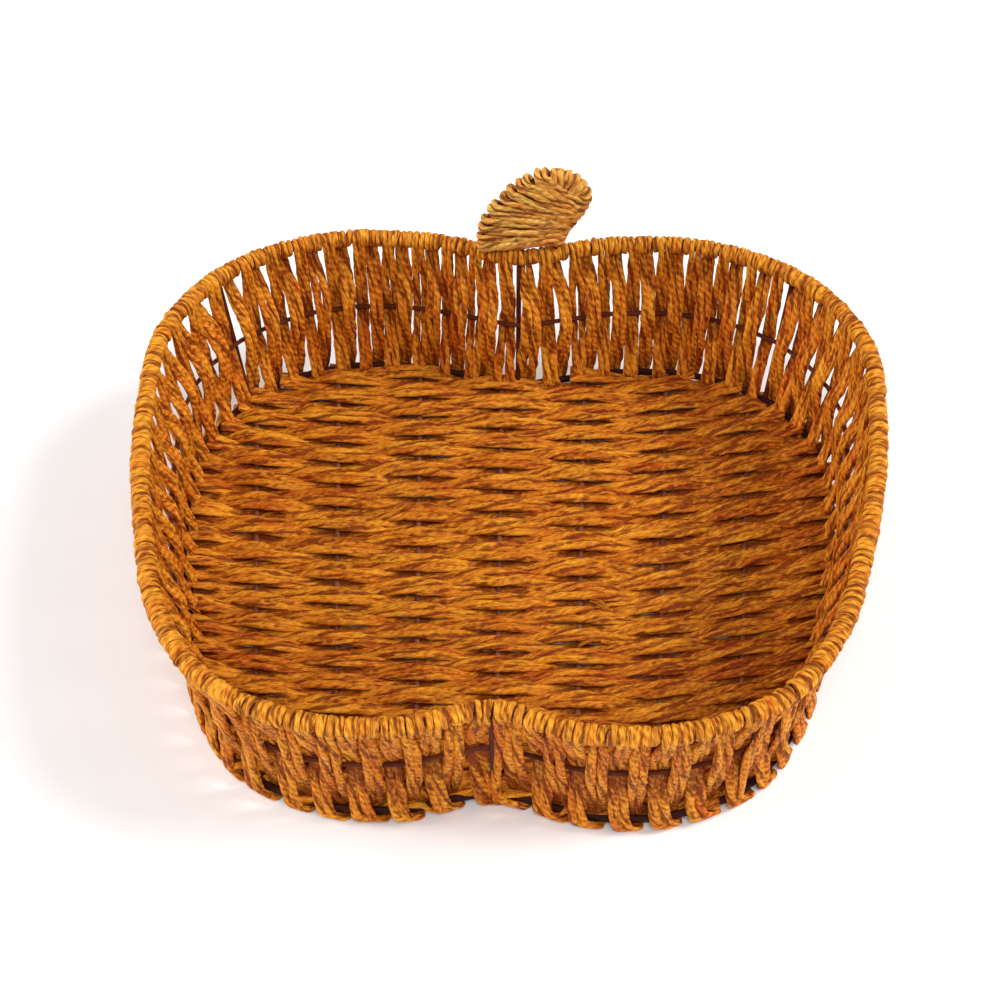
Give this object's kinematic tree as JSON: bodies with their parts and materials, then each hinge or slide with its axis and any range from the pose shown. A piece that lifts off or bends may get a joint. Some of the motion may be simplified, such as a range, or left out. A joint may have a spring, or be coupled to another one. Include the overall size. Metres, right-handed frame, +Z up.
{
  "type": "woven fruit basket",
  "caption": "Low apple-shaped basket of twisted paper cord woven and laced over a painted steel wire frame, with a wrapped rim and a wire leaf at the back.",
  "frame": {"origin": "on the table, under the middle of the rim's bounding box", "axes": "+X across the two lobes to the right, +Y from the front notch to the leaf, +Z up"},
  "size_m": [0.2997, 0.2757, 0.1107],
  "materials": {
    "painted_wire": "satin dark brown paint",
    "rim_cord": "twisted paper cord, amber, lightly lacquered",
    "wall_cord": "twisted paper cord, amber, lightly lacquered",
    "floor_cord": "twisted paper cord, amber, lightly lacquered",
    "leaf_cord": "twisted paper cord, amber, lightly lacquered"
  },
  "bodies": {
    "root": {"rim_wire": "painted_wire", "mid_ring_wire": "painted_wire", "base_ring_wire": "painted_wire", "upright_front": "painted_wire", "upright_front_right": "painted_wire", "upright_right": "painted_wire", "upright_back_right": "painted_wire", "upright_back": "painted_wire", "upright_back_left": "painted_wire", "upright_left": "painted_wire", "upright_front_left": "painted_wire", "floor_stake_1": "painted_wire", "floor_stake_2": "painted_wire", "floor_stake_3": "painted_wire", "floor_stake_4": "painted_wire", "floor_stake_5": "painted_wire", "floor_stake_6": "painted_wire", "floor_stake_7": "painted_wire", "leaf_wire": "painted_wire", "rim_binding": "rim_cord", "wall_lacing_front_right": "wall_cord", "wall_lacing_right_front": "wall_cord", "wall_lacing_right_back": "wall_cord", "wall_lacing_back_right": "wall_cord", "wall_lacing_back_left": "wall_cord", "wall_lacing_left_back": "wall_cord", "wall_lacing_left_front": "wall_cord", "wall_lacing_front_left": "wall_cord", "floor_weave": "floor_cord", "leaf_wrap": "leaf_cord"}
  },
  "joints": []
}
